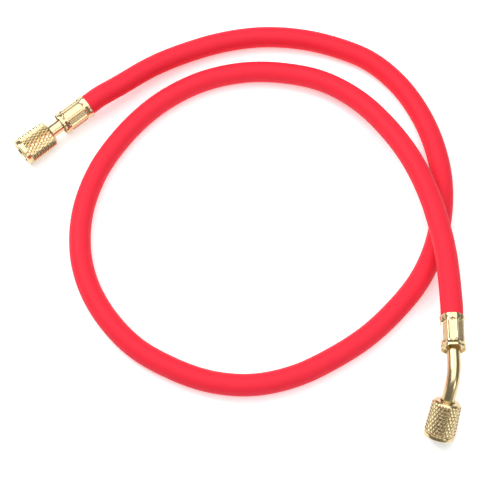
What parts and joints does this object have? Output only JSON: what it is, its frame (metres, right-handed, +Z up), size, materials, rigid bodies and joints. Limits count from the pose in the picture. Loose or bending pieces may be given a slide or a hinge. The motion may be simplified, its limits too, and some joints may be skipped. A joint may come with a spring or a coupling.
{
  "type": "refrigerant charging hose",
  "caption": "Flexible red hose laid in one and a half laps, with crimped brass ferrules, a straight and an angled stem, and knurled swivel flare nuts on its ends.",
  "frame": {"origin": "on the floor under the middle of the box around the two end fittings", "axes": "+Z up, -Y towards the elbow end's nut, -X towards the straight end's nut"},
  "size_m": [0.2345, 0.2409, 0.0315],
  "materials": {
    "hose_rubber": "satin",
    "ferrule_brass": "polished",
    "stem_brass": "polished",
    "nut_brass": "polished",
    "gasket_rubber": "matte"
  },
  "bodies": {
    "root": {"hose": "hose_rubber", "straight_ferrule": "ferrule_brass", "straight_stem": "stem_brass", "straight_gasket": "gasket_rubber", "elbow_ferrule": "ferrule_brass", "elbow_stem": "stem_brass", "elbow_gasket": "gasket_rubber", "core_depressor": "stem_brass"},
    "straight_nut": {"straight_nut": "nut_brass"},
    "elbow_nut": {"elbow_nut": "nut_brass"}
  },
  "joints": [
    {"name": "straight_nut_spin", "type": "hinge", "parent": "root", "child": "straight_nut", "pos_m": [-0.0974, 0.07628, 0.00903], "axis": [-0.7753, -0.6278, -0.0698], "continuous": true},
    {"name": "elbow_nut_spin", "type": "hinge", "parent": "root", "child": "elbow_nut", "pos_m": [0.10661, -0.07766, 0.0176], "axis": [-0.2043, -0.7585, -0.6188], "continuous": true}
  ]
}
